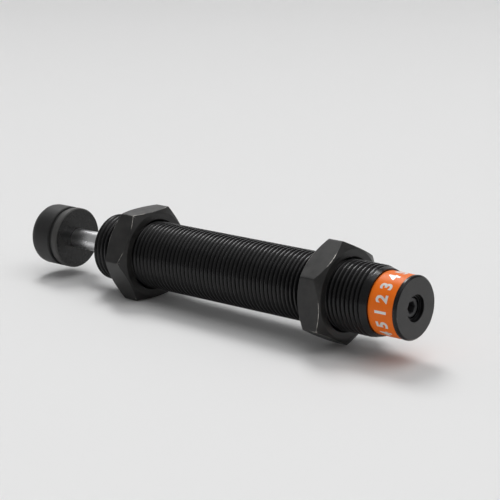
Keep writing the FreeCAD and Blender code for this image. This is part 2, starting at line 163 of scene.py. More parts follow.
def rounded(outline, angles):
    """Closed section with rounded corners: its points (row, column, 2) of station and radius, and its wear
    with painted edge glint.

    A corner of the outline is its station, radius, rounding, and wear with painted edge glint, in order
    round the section with the outside running towards +X. Stations and radii are single values or one for
    each angle. Each corner becomes an arc of the circle that touches its two lines, worked out by turning
    the line from the circle's centre to the first touching point evenly towards the second. One more point
    stands just outside each end of the arc, so that the flats beside it keep a flat shading. The wear and
    painted edge glint of a corner lie on its arc."""
    sides = [np.broadcast_arrays(station, radius, angles)[:2] for station, radius, _, _ in outline]
    corners = np.stack([np.stack(side, axis=-1) for side in sides])
    rounding = np.array([row[2] for row in outline], float)[:, None, None]
    back = np.roll(corners, 1, axis=0) - corners
    on = np.roll(corners, -1, axis=0) - corners
    shorter = np.minimum(np.linalg.norm(back, axis=-1), np.linalg.norm(on, axis=-1))
    back, on = unit(back), unit(on)
    half = np.arccos(np.clip((back * on).sum(-1, keepdims=True), -1, 1)) / 2
    touch = np.minimum(rounding / np.tan(half), ARC_ROOM * shorter[..., None])
    radius = touch * np.tan(half)
    centre = corners + unit(back + on) * radius / np.sin(half)
    first = unit(corners + back * touch - centre)
    last = unit(corners + on * touch - centre)
    opening = np.pi - 2 * half
    rows = [corners + BESIDE_ARC * back * touch]
    for share in np.linspace(0, 1, ARC_STEPS + 1):
        spoke = first * np.sin((1 - share) * opening) + last * np.sin(share * opening)
        rows.append(centre + radius * spoke / np.maximum(np.sin(opening), NO_OPENING))
    rows.append(corners + BESIDE_ARC * on * touch)
    points = np.stack(rows, axis=1).reshape(-1, len(angles), 2)
    shares = np.array([BESIDE_WEAR_AND_GLINT] + [1.0] * (ARC_STEPS + 1) + [BESIDE_WEAR_AND_GLINT])
    wear_and_glint = (np.array([row[3] for row in outline], float)[:, None] * shares).reshape(-1, 1)
    return points, wear_and_glint * np.ones(points.shape[:2])


def closed(rows):
    """Rows of a section with the first in place again behind the last."""
    return np.concatenate([rows, rows[:1]])


def circle(count):
    """Angles of a full circle, from +Y towards +Z, with the last in the place of the first."""
    return np.arange(count + 1) * 2 * np.pi / count


def swept(section, angles):
    """Grid of points that turns a section about the axis: x is the station, y the radius times the
    cosine of the angle and z the radius times its sine."""
    cosine, sine = np.cos(angles), np.sin(angles)
    cosine[-1], sine[-1] = cosine[0], sine[0]
    station, radius = section[..., 0], section[..., 1]
    return np.stack([station, radius * cosine, radius * sine], axis=-1)


def skin(name, grid, wear_and_glint, sharp):
    """Mesh of a grid of points, with rows along the outline and columns round the axis. Each cell
    becomes a face, points in one place become one, and a cell with two joined corners a triangle."""
    flat = grid.reshape(-1, 3)
    places = np.round(flat / JOIN).astype(np.int64)
    _, kept, index = np.unique(places, axis=0, return_index=True, return_inverse=True)
    ids = index.reshape(grid.shape[:2])
    cells = np.stack([ids[:-1, :-1], ids[:-1, 1:], ids[1:, 1:], ids[1:, :-1]], axis=-1).reshape(-1, 4)
    joined = cells == np.roll(cells, -1, axis=1)
    count = joined.sum(axis=1)
    triangles = cells[count == 1][~joined[count == 1]].reshape(-1, 3)
    mesh = bpy.data.meshes.new(name)
    mesh.from_pydata((flat[kept] * MM).tolist(), [], cells[count == 0].tolist() + triangles.tolist())
    # Wear with painted edge glint, for each point
    values = wear_and_glint.reshape(-1)[kept].astype(np.float32)
    mesh.attributes.new("wear_and_glint", "FLOAT", "POINT").data.foreach_set("value", values)
    mesh.shade_smooth()
    mesh.set_sharp_from_angle(angle=math.radians(sharp))
    return mesh


def turned(name, *outline):
    """Mesh of a turned piece, whose outline has one station and radius at all angles."""
    angles = circle(ROUND)
    section, wear_and_glint = rounded(outline, angles)
    return skin(name, swept(closed(section), angles), closed(wear_and_glint), SHARP_TURNED)


# Body


def soft_above(value, width):
    """The value where it is above zero and zero where it is below, with a hyperbola for the bend."""
    return (value + np.sqrt(value**2 + width**2)) / 2


def ramp(value, start, end):
    """Smooth rise from nought at start to one at end."""
    share = np.clip((value - start) / (end - start), 0, 1)
    return share**2 * (3 - 2 * share)


def thread_depth(phase):
    """Depth below the crest at a share of the pitch from it: a round arc over the crest, a straight
    flank at 60 degrees to the axis, and a smaller arc in the root, each touching the next."""
    slope = math.radians(THREAD_FLANK)
    away = np.abs((phase + 0.5) % 1 - 0.5) * THREAD_PITCH
    inward = THREAD_PITCH / 2 - away
    crest_end = THREAD_CREST_ARC * math.sin(slope)
    root_start = THREAD_PITCH / 2 - THREAD_ROOT_ARC * math.sin(slope)
    flank_top = THREAD_CREST_ARC * (1 - math.cos(slope))
    flank_bottom = flank_top + (root_start - crest_end) * math.tan(slope)
    bottom = flank_bottom + THREAD_ROOT_ARC * (1 - math.cos(slope))
    crest = THREAD_CREST_ARC - np.sqrt(np.maximum(THREAD_CREST_ARC**2 - away**2, 0))
    root = bottom - THREAD_ROOT_ARC + np.sqrt(np.maximum(THREAD_ROOT_ARC**2 - inward**2, 0))
    flank = flank_top + (away - crest_end) * math.tan(slope)
    return np.where(away < crest_end, crest, np.where(away > root_start, root, flank))


def thread_phases():
    """Shares of the pitch at which the thread has a row of points: even turns of its two arcs."""
    slope = np.radians(THREAD_FLANK)
    crest_turns = slope * np.arange(THREAD_CREST_STEPS + 1) / THREAD_CREST_STEPS
    root_turns = slope * np.arange(THREAD_ROOT_STEPS, 0, -1) / THREAD_ROOT_STEPS
    crest = THREAD_CREST_ARC * np.sin(crest_turns) / THREAD_PITCH
    root = 0.5 - THREAD_ROOT_ARC * np.sin(root_turns) / THREAD_PITCH
    half = np.concatenate([crest, root])
    return np.concatenate([half, [0.5], 1 - half[:0:-1]])


def threaded_body():
    """Mesh of the body: the thread outside, and the turned ends and bore as its rear, front and inside.

    A row of the thread is a line of constant phase, so it climbs one pitch in a turn: its station is
    the pitch times the sum of the turns and the phase. Rows stop at the shoulder and at the front face.
    The radius is the lesser of the envelope, which has the tapered shoulder and the front chamfer, and
    the crest radius less the depth."""
    taper, shoulder_drop, shoulder_bend, chamfer = 2.5, 0.7, 0.05, 1.0
    fade_start, fade_end = 0.8, 2.2
    rim_step, rim_chamfer, recess_depth, recess_radius = 0.10, 0.5, 1.2, 3.75
    channel_radius, channel_length, cone_length = 1.25, 1.65, 1.75
    gland_lead, ring_setback, ring_groove = 1.0, 1.6, 0.5

    shoulder = BAND_END + SEAT_GAP
    angles = circle(ROUND)
    turns = math.ceil((BODY_FRONT - shoulder) / THREAD_PITCH) + 2
    phases = thread_phases()
    steps = (np.arange(turns)[:, None] + phases).reshape(-1, 1)
    offset = (THREAD_MARK - shoulder) / THREAD_PITCH - THREAD_MARK_ANGLE / 360
    steps = steps + offset % 1 - 2
    climbed = shoulder + THREAD_PITCH * (steps + angles / (2 * np.pi))
    station = np.clip(climbed, shoulder, BODY_FRONT)
    mark_turns = (angles - math.radians(THREAD_MARK_ANGLE)) / (2 * np.pi)
    depth = thread_depth((station - THREAD_MARK) / THREAD_PITCH - mark_turns)
    drop_left = shoulder_drop - (station - shoulder) * shoulder_drop / taper
    envelope = THREAD_RADIUS - soft_above(drop_left, shoulder_bend)
    envelope = np.minimum(envelope, THREAD_RADIUS - chamfer + BODY_FRONT - station)
    fade = ramp(station, shoulder + fade_start, shoulder + fade_end)
    radius = np.minimum(envelope, THREAD_RADIUS - fade * depth)
    thread = np.stack([station, radius], axis=-1)
    thread[:-len(phases), -1] = thread[len(phases):, 0]

    gland_bore = GLAND_RADIUS + SLIP_GAP
    ring_front = BODY_FRONT - ring_setback
    ring_floor = gland_bore + ring_groove
    gland_step = GLAND_REAR - gland_lead
    bore = BEARING_RADIUS + SLIP_GAP
    bore_floor = TUBE_REAR - SEAT_GAP
    channel_rear = bore_floor - channel_length
    cone_rear = channel_rear - cone_length
    screw_hole = SCREW_RADIUS + SCREW_GAP
    recess_floor = BODY_REAR + recess_depth
    rim = BAND_RADIUS + rim_step
    band_start = BAND_START - SEAT_GAP
    band_floor = BAND_RADIUS - BAND_WALL - SEAT_GAP
    # The last number of each corner is its wear with painted edge glint
    ends, wear_and_glint = rounded((
        (BODY_FRONT, THREAD_RADIUS - chamfer, 0, 0.6),
        (BODY_FRONT, gland_bore, 0.12, 0.4),
        (ring_front, gland_bore, 0, 0),
        (ring_front, ring_floor, 0, 0),
        (GUIDE_FRONT, ring_floor, 0, 0),
        (GUIDE_FRONT, gland_bore, 0, 0),
        (gland_step, gland_bore, 0, 0),
        (gland_step, bore, 0, 0),
        (bore_floor, bore, 0, 0),
        (bore_floor, channel_radius, 0, 0),
        (channel_rear, channel_radius, 0, 0),
        (cone_rear, screw_hole, 0, 0),
        (recess_floor, screw_hole, 0.08, 0.2),
        (recess_floor, recess_radius, 0.1, 0),
        (BODY_REAR, recess_radius, 0.12, 0.35),
        (BODY_REAR, rim - rim_chamfer, 0.15, 0.7),
        (BODY_REAR + rim_chamfer, rim, 0.15, 0.7),
        (band_start, rim, 0.05, 0.5),
        (band_start, band_floor, 0, 0),
        (shoulder, band_floor, 0, 0),
        (shoulder, THREAD_RADIUS - soft_above(shoulder_drop, shoulder_bend), 0, 0.3),
    ), angles)
    grid = np.concatenate([swept(thread, angles), swept(ends, angles)])
    wear_and_glint = np.concatenate([np.zeros(station.shape), wear_and_glint])
    return skin("body_shell", grid, wear_and_glint, SHARP_CUT)


def band_sleeve():
    """Mesh of the coloured band with softened edges."""
    inner = BAND_RADIUS - BAND_WALL
    return turned(
        "band_sleeve",
        (BAND_START, inner, 0, 0),
        (BAND_START, BAND_RADIUS, 0.08, 0.6),
        (BAND_END, BAND_RADIUS, 0.08, 0.6),
        (BAND_END, inner, 0, 0),
    )


# Figures on the band, from one to their count and repeated round it. Each has a height, which is a
# share of its font's size, and a share of its width. It is made bolder, and cut at places along its
# width
FIGURE_COUNT = 5
FIGURE_REPEATS = 3
FIGURE_HEIGHT = 3.6
FIGURE_HEIGHT_SHARE = 0.72
FIGURE_WIDTH_SHARE = 0.9
FIGURE_BOLDNESS = 0.17
FIGURE_CURVE_STEPS = 4
FIGURE_CUTS = np.arange(-1.75, 1.8, 0.35)

# Width within which points of a figure are one, and within which a cut meets them
FIGURE_JOIN = 0.0005
FIGURE_CUT_JOIN = 1e-6

# Thickness of the raised ink
INK = 0.02


def flat_figure(figure):
    """Flat mesh of one bold figure with its middle at the origin, cut across so that it can bend."""
    curve = bpy.data.curves.new("figure", "FONT")
    curve.body = str(figure)
    curve.size = FIGURE_HEIGHT / FIGURE_HEIGHT_SHARE
    curve.align_x = "CENTER"
    curve.extrude = INK / 2
    curve.offset = FIGURE_BOLDNESS
    curve.resolution_u = FIGURE_CURVE_STEPS
    holder = bpy.data.objects.new("figure", curve)
    bpy.context.scene.collection.objects.link(holder)
    bpy.context.view_layer.update()
    flat = bpy.data.meshes.new_from_object(holder.evaluated_get(bpy.context.evaluated_depsgraph_get()))
    bpy.data.objects.remove(holder)
    work = bmesh.new()
    work.from_mesh(flat)
    bmesh.ops.remove_doubles(work, verts=work.verts, dist=FIGURE_JOIN)
    for cut in FIGURE_CUTS:
        everything = work.verts[:] + work.edges[:] + work.faces[:]
        bmesh.ops.bisect_plane(work, geom=everything, plane_co=(cut, 0, 0), plane_no=(1, 0, 0),
                               dist=FIGURE_CUT_JOIN)
    bmesh.ops.recalc_face_normals(work, faces=work.faces)
    bmesh.ops.translate(work, verts=work.verts, vec=(0, -FIGURE_HEIGHT / 2, 0))
    bmesh.ops.scale(work, verts=work.verts, vec=(FIGURE_WIDTH_SHARE, 1, 1))
    work.to_mesh(flat)
    work.free()
    return flat


def wrapped(mesh, middle, start_angle, radius):
    """Lays a flat mesh round the band: its x divided by the radius turns it on from the start angle,
    its y is the way from the middle station towards the rod, and its z adds to the radius."""
    flat = np.zeros(len(mesh.vertices) * 3)
    mesh.vertices.foreach_get("co", flat)
    flat = flat.reshape(-1, 3)
    angle = start_angle + flat[:, 0] / radius
    out = radius + flat[:, 2]
    placed = np.stack([middle + flat[:, 1], out * np.cos(angle), out * np.sin(angle)], axis=-1) * MM
    mesh.vertices.foreach_set("co", placed.ravel())


def band_numbers():
    """Mesh of the row of figures round the band, as thin raised ink."""
    middle = (BAND_START + BAND_END) / 2
    spacing = 360 / (FIGURE_COUNT * FIGURE_REPEATS)
    shell = bmesh.new()
    for step in range(FIGURE_COUNT * FIGURE_REPEATS):
        flat = flat_figure(step % FIGURE_COUNT + 1)
        wrapped(flat, middle, math.radians(spacing * step), BAND_RADIUS + INK / 2)
        shell.from_mesh(flat)
        bpy.data.meshes.remove(flat)
    mesh = bpy.data.meshes.new("band_numbers")
    shell.to_mesh(mesh)
    shell.free()
    return mesh


# Nuts and screw


def six_sided(side):
    """Angles all round a hexagon from one of its corners, given the degrees along half a side."""
    sixth = np.concatenate([side, [30], 60 - side[:0:-1]])
    return np.radians(np.append((np.arange(6)[:, None] * 60 + sixth).reshape(-1), 360))


def from_nearest_corner(angles):
    """Angle from each angle to the nearest corner of a hexagon."""
    return np.abs((angles + np.pi / 6) % (np.pi / 3) - np.pi / 6)


def hexagon_radius(angles, across_flats, blend):
    """Distance from the axis to a hexagon's side at each angle from a corner: half the width across the
    flats, divided by the larger of the cosines to the two nearest flats, which a hyperbola blends at
    the corner."""
    offset = from_nearest_corner(angles)
    near, far = np.cos(np.pi / 6 - offset), np.cos(np.pi / 6 + offset)
    blended = (near + far + np.sqrt((near - far)**2 + blend**2)) / 2
    return across_flats / 2 / blended


def lock_nut(name, node, corner_angle):
    """Mesh of a hexagon nut: at each angle a section runs up the turned chamfer to the hexagon's side,
    along it and down the other chamfer. Columns stand close together at the corners and evenly between
    them. The corners are worn from chamfer to chamfer, which also paints a glint along them."""
    start, end, _ = reach(node)
    across_flats, face_radius, chamfer_angle, bore, countersink = 26.0, 12.5, 34, 10.05, 0.55
    corner_blend, corner_wear_and_glint_width, corner_wear_and_glint_rise = 0.008, 1.2, 0.3
    angles = six_sided(np.array([0, 0.5, 1.2, 3, 7, 12, 17, 22, 26]))
    flat = hexagon_radius(angles, across_flats, corner_blend)
    rise = (flat - face_radius) * math.tan(math.radians(chamfer_angle))
    section, wear_and_glint = rounded((
        (start, bore + countersink, 0.05, 0),
        (start, face_radius, 0.25, 0.25),
        (start + rise, flat, 0.14, 1),
        (end - rise, flat, 0.14, 1),
        (end, face_radius, 0.25, 0.25),
        (end, bore + countersink, 0.05, 0),
        (end - countersink, bore, 0, 0),
        (start + countersink, bore, 0, 0),
    ), angles)
    # Painted glint along the hexagon's corners, drawn as worn bare steel from chamfer to chamfer
    near_corner = np.clip(1 - np.degrees(from_nearest_corner(angles)) / corner_wear_and_glint_width, 0, 1)
    wear_and_glint = np.maximum(wear_and_glint, near_corner * (section[..., 1] > face_radius + corner_wear_and_glint_rise))
    grid = swept(closed(section), angles + math.radians(corner_angle))
    return skin(name, grid, closed(wear_and_glint), SHARP_CUT)


def socket_screw():
    """Mesh of the fill screw: the turned outside, and a socket whose section at each angle reaches the
    hexagon, with a cone below its floor."""
    depth, cone, chamfer, lead = 2.4, 0.5, 0.4, 0.12
    across_flats, corner_blend = 3.0, 0.01
    angles = six_sided(np.array([0, 1, 3, 7, 12, 18, 24]))
    socket = hexagon_radius(angles, across_flats, corner_blend)
    section, wear_and_glint = rounded((
        (SCREW_START, socket + lead, 0.05, 0.5),
        (SCREW_START, SCREW_RADIUS - chamfer, 0.08, 0.4),
        (SCREW_START + chamfer, SCREW_RADIUS, 0.05, 0),
        (SCREW_END - chamfer, SCREW_RADIUS, 0.05, 0),
        (SCREW_END, SCREW_RADIUS - chamfer, 0.05, 0),
        (SCREW_END, 0, 0, 0),
        (SCREW_START + depth + cone, 0, 0, 0),
        (SCREW_START + depth, socket, 0, 0),
        (SCREW_START + lead, socket, 0.03, 0),
    ), angles)
    return skin("screw_skin", swept(closed(section), angles), closed(wear_and_glint), SHARP_CUT)


# Rod and cap


def rod_skin():
    """Mesh of the piston rod with its thin tail and the stub that carries the cap."""
    tail_radius, tail_chamfer = 1.5, 0.4
    tail_end, rod_end = PISTON_FRONT + SEAT_GAP, HUB_START - SEAT_GAP
    return turned(
        "rod_skin",
        (ROD_START, 0, 0, 0),
        (ROD_START, tail_radius - tail_chamfer, 0.05, 0),
        (ROD_START + tail_chamfer, tail_radius, 0.05, 0),
        (tail_end, tail_radius, 0, 0),
        (tail_end, ROD_RADIUS, 0.1, 0),
        (rod_end, ROD_RADIUS, 0.1, 0),
        (rod_end, STUB_RADIUS, 0, 0),
        (ROD_END, STUB_RADIUS, 0.1, 0),
        (ROD_END, 0, 0, 0),
    )


def hub_skin():
    """Mesh of the steel disc behind the bumper, with its headed stem."""
    stub_hole = STUB_RADIUS + SCREW_GAP
    hub_front = HUB_START + HUB_THICKNESS
    neck_end = hub_front + NECK_LENGTH
    return turned(
        "hub_skin",
        (HUB_START, stub_hole, 0.05, 0),
        (HUB_START, CAP_RADIUS - CAP_CHAMFER, 0.12, 0.5),
        (HUB_START + CAP_CHAMFER, CAP_RADIUS, 0.12, 0.5),
        (hub_front - CAP_CHAMFER, CAP_RADIUS, 0.12, 0.5),
        (hub_front, CAP_RADIUS - CAP_CHAMFER, 0.12, 0.5),
        (hub_front, NECK_RADIUS, 0, 0),
        (neck_end, NECK_RADIUS, 0, 0),
        (neck_end, HEAD_RADIUS, 0, 0),
        (HUB_END - HEAD_CHAMFER, HEAD_RADIUS, 0.1, 0),
        (HUB_END, HEAD_RADIUS - HEAD_CHAMFER, 0.1, 0),
        (HUB_END, 0, 0, 0),
        (ROD_END + SEAT_GAP, 0, 0, 0),
        (ROD_END + SEAT_GAP, stub_hole, 0, 0),
    )


def bumper_skin():
    """Mesh of the plastic bumper, with its rounded front edge, rear groove and pocket for the stem."""
    groove_depth, groove_width, edge = 0.6, 1.2, 2.3
    neck_hole, pocket = NECK_RADIUS + SLIP_GAP, HEAD_RADIUS + SLIP_GAP
    groove_end = HUB_START + HUB_THICKNESS + groove_width
    pocket_start = HUB_START + HUB_THICKNESS + NECK_LENGTH - SEAT_GAP
    pocket_end = HUB_END + SEAT_GAP
    return turned(
        "bumper_skin",
        (BUMPER_START, neck_hole, 0, 0),
        (BUMPER_START, CAP_RADIUS - groove_depth, 0.05, 0),
        (groove_end, CAP_RADIUS - groove_depth, 0.08, 0),
        (groove_end, CAP_RADIUS - CAP_CHAMFER, 0.1, 0.3),
        (groove_end + CAP_CHAMFER, CAP_RADIUS, 0.12, 0.3),
        (BUMPER_END, CAP_RADIUS, edge, 0.15),
        (BUMPER_END, 0, 0, 0),
        (pocket_end, 0, 0, 0),
        (pocket_end, pocket - HEAD_CHAMFER, 0.1, 0),
        (pocket_end - HEAD_CHAMFER, pocket, 0.1, 0),
        (pocket_start, pocket, 0, 0),
        (pocket_start, neck_hole, 0, 0),
    )


# Nodes of the materials


def feed(tree, socket, value):
    """Gives an input a value, or a link if the value is a socket."""
    if isinstance(value, bpy.types.NodeSocket):
        tree.links.new(value, socket)
    else:
        socket.default_value = value


def place(tree, kind, x, y, settings=None, **inputs):
    """A node at a place in the editor. Inputs go by name, with _ for a space, as values or sockets."""
    node = tree.nodes.new(kind)
    node.location = (x, y)
    for key, value in (settings or {}).items():
        setattr(node, key, value)
    for key, value in inputs.items():
        feed(tree, node.inputs[key.replace("_", " ")], value)
    return node


def worked_out(tree, operation, x, y, *values):
    """Output of a math node on values or sockets."""
    node = place(tree, "ShaderNodeMath", x, y, {"operation": operation})
    for socket, value in zip(node.inputs, values):
        feed(tree, socket, value)
    return node.outputs[0]


# Numbers of the mix node's sockets for its two values and its result
MIX_SOCKETS = {"FLOAT": (2, 3, 0), "RGBA": (6, 7, 2)}


def mixed(tree, kind, x, y, share, first, second):
    """Output of a mix node, from the first value at a share of nought to the second at one."""
    one, other, result = MIX_SOCKETS[kind]
    node = place(tree, "ShaderNodeMix", x, y, {"data_type": kind})
    feed(tree, node.inputs[0], share)
    feed(tree, node.inputs[one], first)
    feed(tree, node.inputs[other], second)
    return node.outputs[result]


def new_group(name, inputs, outputs):
    """An empty node group with its sockets, as (group, input node, output node)."""
    group = bpy.data.node_groups.new(name, "ShaderNodeTree")
    for label, kind, value in inputs:
        socket = group.interface.new_socket(label, in_out="INPUT", socket_type=kind)
        socket.default_value = value
    for label, kind in outputs:
        group.interface.new_socket(label, in_out="OUTPUT", socket_type=kind)
    return group, place(group, "NodeGroupInput", -900, 0), place(group, "NodeGroupOutput", 700, 0)


# Grit is finer than the clouds by the first number and weaker by the second
GRIT_FINENESS = 14.0
GRIT_STRENGTH = 0.45


def mottle_group():
    """Two tones and two roughnesses blended by two sizes of noise, as on oxide or moulded plastic."""
    group, given, out = new_group(
        "mottled_finish",
        (
            ("First Colour", "NodeSocketColor", (0.02, 0.02, 0.02, 1)),
            ("Second Colour", "NodeSocketColor", (0.04, 0.04, 0.04, 1)),
            ("Low Roughness", "NodeSocketFloat", 0.3),
            ("High Roughness", "NodeSocketFloat", 0.5),
            ("Scale", "NodeSocketFloat", 300.0),
        ),
        (("Colour", "NodeSocketColor"), ("Roughness", "NodeSocketFloat"), ("Height", "NodeSocketFloat")),
    )
    given = given.outputs
    where = place(group, "ShaderNodeTexCoord", -900, -300).outputs["Object"]
    cloud = place(group, "ShaderNodeTexNoise", -650, 100, Vector=where, Scale=given["Scale"], Detail=5.0,
                  Roughness=0.6)
    fine_scale = worked_out(group, "MULTIPLY", -850, -120, given["Scale"], GRIT_FINENESS)
    grit = place(group, "ShaderNodeTexNoise", -650, -200, Vector=where, Scale=fine_scale, Detail=3.0,
                 Roughness=0.6)
    both = worked_out(group, "MULTIPLY_ADD", -420, -60, grit.outputs["Fac"], GRIT_STRENGTH,
                      cloud.outputs["Fac"])
    share = place(group, "ShaderNodeMapRange", -220, -60, Value=both, From_Min=0.52, From_Max=0.95)
    share = share.outputs[0]
    colour = mixed(group, "RGBA", 50, 150, share, given["First Colour"], given["Second Colour"])
    rough = mixed(group, "FLOAT", 50, -100, share, given["Low Roughness"], given["High Roughness"])
    group.links.new(colour, out.inputs["Colour"])
    group.links.new(rough, out.inputs["Roughness"])
    group.links.new(both, out.inputs["Height"])
    return group


def wear_group():
    """Mask of bare metal on worn edges, which also paints a glint along them: the piece's wear attribute,
    broken up by fine noise and left out in patches by coarse noise."""
    group, given, out = new_group(
        "worn_and_glinting_edges",
        (
            ("Amount", "NodeSocketFloat", 1.0),
            ("Scale", "NodeSocketFloat", 600.0),
            ("Patch Scale", "NodeSocketFloat", 110.0),
        ),
        (("Mask", "NodeSocketFloat"),),
    )
    given = given.outputs
    smooth = {"interpolation_type": "SMOOTHSTEP"}
    where = place(group, "ShaderNodeTexCoord", -900, -300).outputs["Object"]
    worn_and_glinting = place(group, "ShaderNodeAttribute", -650, 150, {"attribute_name": "wear_and_glint"}).outputs["Fac"]
    fine = place(group, "ShaderNodeTexNoise", -650, -100, Vector=where, Scale=given["Scale"], Detail=6.0,
                 Roughness=0.7)
    coarse = place(group, "ShaderNodeTexNoise", -650, -350, Vector=where, Scale=given["Patch Scale"],
                   Detail=2.0)
    patch = place(group, "ShaderNodeMapRange", -420, -350, smooth, Value=coarse.outputs["Fac"],
                  From_Min=0.44, From_Max=0.60, To_Min=0.55, To_Max=1.0)
    level = worked_out(group, "MULTIPLY", -420, -100, fine.outputs["Fac"], given["Amount"])
    level = worked_out(group, "MULTIPLY", -220, -150, level, patch.outputs[0])
    level = worked_out(group, "MULTIPLY", -50, 50, worn_and_glinting, level)
    mask = place(group, "ShaderNodeMapRange", 150, 50, smooth, Value=level, From_Min=0.32, From_Max=0.62)
    group.links.new(mask.outputs[0], out.inputs["Mask"])
    return group


def lines_group():
    """Height of fine turning marks: noise of the station plus the distance from the axis, so it runs in
    rings along round walls and across faces."""
    group, given, out = new_group(
        "turning_marks",
        (("Spacing", "NodeSocketFloat", 0.0001),),
        (("Height", "NodeSocketFloat"),),
    )
    where = place(group, "ShaderNodeTexCoord", -1100, -300).outputs["Object"]
    parts = place(group, "ShaderNodeSeparateXYZ", -900, -300, Vector=where).outputs
    across = place(group, "ShaderNodeCombineXYZ", -720, -300, Y=parts["Y"], Z=parts["Z"])
    radius = place(group, "ShaderNodeVectorMath", -540, -300, {"operation": "LENGTH"})
    group.links.new(across.outputs[0], radius.inputs[0])
    both = worked_out(group, "ADD", -360, -200, parts["X"], radius.outputs["Value"])
    turns = worked_out(group, "DIVIDE", -180, -200, both, given.outputs["Spacing"])
    noise = place(group, "ShaderNodeTexNoise", 50, -200, {"noise_dimensions": "1D"}, W=turns, Scale=1.0,
                  Detail=3.0, Roughness=0.7)
    group.links.new(noise.outputs["Fac"], out.inputs["Height"])
    return group


MOTTLE = mottle_group()
WEAR_AND_GLINT = wear_group()
LINES = lines_group()


# Materials

# Colour and roughness of worn bare steel, which also paints a glint along edges and corners
BARE_STEEL_GLINT = (0.55, 0.53, 0.50)
BARE_GLINT_ROUGHNESS = 0.35


def finish(name, colours, roughness, scale, metallic=0.0, grain=0.000004, marks=None, worn_and_glinting=None, **shader):
    """A material: mottled colour and roughness, grain and turning marks as bump, and worn steel edges that
    also paint an edge glint.

    There are two colours and two roughnesses, which the mottle blends at a scale in spots per metre.
    The grain is a height and the marks are a spacing and a height, in metres. The last is how much worn
    edge with painted edge glint there is."""
    material = bpy.data.materials.new(name)
    material.use_nodes = True
    tree = material.node_tree
    tree.nodes.clear()
    out = place(tree, "ShaderNodeOutputMaterial", 900, 0)
    first, second = ((*colour, 1) for colour in colours)
    low, high = roughness
    ground = place(tree, "ShaderNodeGroup", -600, 200, {"node_tree": MOTTLE}, First_Colour=first,
                   Second_Colour=second, Low_Roughness=low, High_Roughness=high, Scale=scale).outputs
    colour, rough, metal = ground["Colour"], ground["Roughness"], metallic
    bump = place(tree, "ShaderNodeBump", 200, -300, Height=ground["Height"], Distance=grain, Strength=1.0)
    if marks:
        spacing, height = marks
        lines = place(tree, "ShaderNodeGroup", -600, -400, {"node_tree": LINES}, Spacing=spacing)
        bump = place(tree, "ShaderNodeBump", 400, -300, Height=lines.outputs["Height"], Distance=height,
                     Strength=1.0, Normal=bump.outputs["Normal"])
    if worn_and_glinting:
        # Worn edges blend towards bare steel, which also paints a glint along them
        mask = place(tree, "ShaderNodeGroup", -600, -150, {"node_tree": WEAR_AND_GLINT}, Amount=worn_and_glinting).outputs["Mask"]
        colour = mixed(tree, "RGBA", 0, 200, mask, colour, (*BARE_STEEL_GLINT, 1))
        rough = mixed(tree, "FLOAT", 0, 0, mask, rough, BARE_GLINT_ROUGHNESS)
        metal = mixed(tree, "FLOAT", 0, -150, mask, metallic, 1.0)
    surface = place(tree, "ShaderNodeBsdfPrincipled", 600, 0, Base_Color=colour, Roughness=rough,
                    Metallic=metal, Normal=bump.outputs["Normal"], **shader)
    tree.links.new(surface.outputs[0], out.inputs[0])
    return material


body_oxide = finish("body_oxide", ((0.003, 0.003, 0.0035), (0.006, 0.006, 0.0065)), (0.20, 0.27), 250.0,
                    grain=0.000001, worn_and_glinting=0.8, Specular_IOR_Level=0.32)
# Lighter, rougher copy of the oxide for the rear face: painted light for how brightly the face is lit
face_oxide_painted_light = finish("face_oxide_painted_light", ((0.015, 0.015, 0.015), (0.034, 0.033, 0.033)), (0.35, 0.5), 500.0,
                    worn_and_glinting=0.9)
nut_oxide = finish("nut_oxide", ((0.012, 0.012, 0.012), (0.027, 0.026, 0.025)), (0.32, 0.46), 350.0,
                   worn_and_glinting=1.0, Specular_IOR_Level=0.34)
screw_steel = finish("screw_steel", ((0.03, 0.03, 0.032), (0.06, 0.06, 0.062)), (0.3, 0.45), 500.0,
                     metallic=0.3, worn_and_glinting=1.1)
rod_chrome = finish("rod_chrome", ((0.66, 0.66, 0.67), (0.74, 0.74, 0.75)), (0.26, 0.32), 200.0,
                    metallic=1.0, grain=0.0000002, marks=(0.00005, 0.0000004))
hub_oxide = finish("hub_oxide", ((0.006, 0.006, 0.006), (0.012, 0.012, 0.011)), (0.22, 0.34), 250.0,
                   marks=(0.00012, 0.000002), worn_and_glinting=0.9, Specular_IOR_Level=0.35)
# Lighter, rougher copy of the hub's oxide for its rim: painted light in place of the rim's lit band
rim_oxide_painted_light = finish("rim_oxide_painted_light", ((0.036, 0.035, 0.034), (0.052, 0.051, 0.049)), (0.52, 0.62), 300.0,
                   marks=(0.00012, 0.000003), worn_and_glinting=0.9)
bumper_plastic = finish("bumper_plastic", ((0.010, 0.010, 0.010), (0.016, 0.016, 0.016)), (0.45, 0.58),
                        400.0, grain=0.000010, Specular_IOR_Level=0.35)
band_orange = finish("band_orange", ((0.86, 0.158, 0.006), (0.92, 0.185, 0.008)), (0.34, 0.44), 150.0,
                     grain=0.000001, Specular_IOR_Level=0.22)
ink_silver = finish("ink_silver", ((0.72, 0.71, 0.68), (0.82, 0.81, 0.78)), (0.3, 0.5), 900.0, metallic=0.2)
inner_steel = finish("inner_steel", ((0.42, 0.42, 0.43), (0.52, 0.52, 0.53)), (0.22, 0.36), 250.0,
                     metallic=1.0, marks=(0.0001, 0.000002))
spring_steel = finish("spring_steel", ((0.22, 0.21, 0.20), (0.34, 0.33, 0.31)), (0.25, 0.4), 400.0,
                      metallic=1.0)
bush_bronze = finish("bush_bronze", ((0.48, 0.29, 0.12), (0.60, 0.38, 0.17)), (0.25, 0.4), 400.0,
                     metallic=1.0, marks=(0.0001, 0.000002))
cell_foam = finish("cell_foam", ((0.03, 0.03, 0.03), (0.09, 0.09, 0.09)), (0.8, 0.95), 900.0, grain=0.00006)
seal_rubber = finish("seal_rubber", ((0.010, 0.010, 0.011), (0.018, 0.018, 0.019)), (0.45, 0.6), 500.0)
